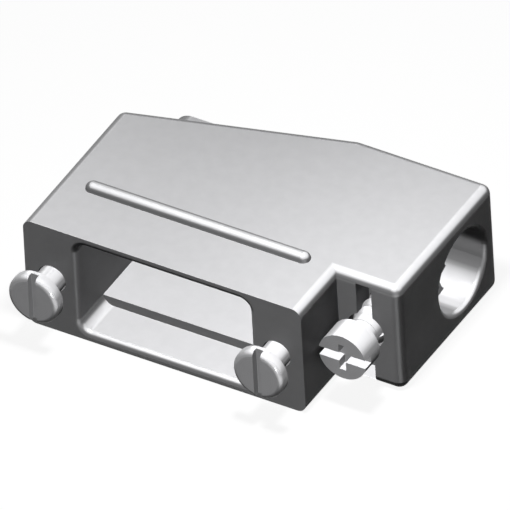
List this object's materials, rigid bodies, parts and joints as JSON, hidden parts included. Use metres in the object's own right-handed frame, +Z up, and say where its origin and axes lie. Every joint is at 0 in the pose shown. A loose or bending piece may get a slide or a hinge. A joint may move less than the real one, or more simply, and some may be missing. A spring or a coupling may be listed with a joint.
{
  "type": "d-sub connector hood",
  "caption": "Low metal hood for a small d-sub connector, with a side cable exit, a screw-driven toothed cable clamp and slotted mounting screws.",
  "frame": {"origin": "centre of the connector opening, on the front face that meets the connector", "axes": "+X towards the side where the cable leaves, +Y from the front face towards the rear, +Z up towards the grip bar"},
  "size_m": [0.0378, 0.0291, 0.0134],
  "materials": {
    "die_cast": "satin",
    "front_screw_steel": "satin",
    "clamp_screw_steel": "satin",
    "cover_screw_steel": "satin",
    "plate_steel": "satin"
  },
  "bodies": {
    "hood": {"lower_shell": "die_cast", "upper_shell": "die_cast", "screw_nut_left": "plate_steel", "screw_nut_right": "plate_steel", "cover_screw_left": "cover_screw_steel", "cover_screw_right": "cover_screw_steel", "cover_screw_rear": "cover_screw_steel"},
    "clamp_plate": {"clamp_plate": "plate_steel"},
    "clamp_screw": {"clamp_screw": "clamp_screw_steel"},
    "front_screw_left": {"front_screw_left": "front_screw_steel"},
    "front_screw_right": {"front_screw_right": "front_screw_steel"}
  },
  "joints": [
    {"name": "clamp_plate_slide", "type": "slide", "parent": "hood", "child": "clamp_plate", "axis": [0, 1, 0], "range_m": [-0.0035, 0]},
    {"name": "clamp_screw_turn", "type": "hinge", "parent": "clamp_plate", "child": "clamp_screw", "pos_m": [0.01841, 0.0038, 0], "axis": [0, 1, 0], "range_deg": [-870, 1]},
    {"name": "front_screw_left_slide", "type": "slide", "parent": "hood", "child": "front_screw_left", "axis": [0, 1, 0], "range_m": [-0.0024, 0.0026]},
    {"name": "front_screw_right_slide", "type": "slide", "parent": "hood", "child": "front_screw_right", "axis": [0, 1, 0], "range_m": [-0.0024, 0.0026]}
  ],
  "couplings": [
    {"joint": "clamp_screw_turn", "follows": "clamp_plate_slide", "rad_per_m": 4333.2}
  ]
}
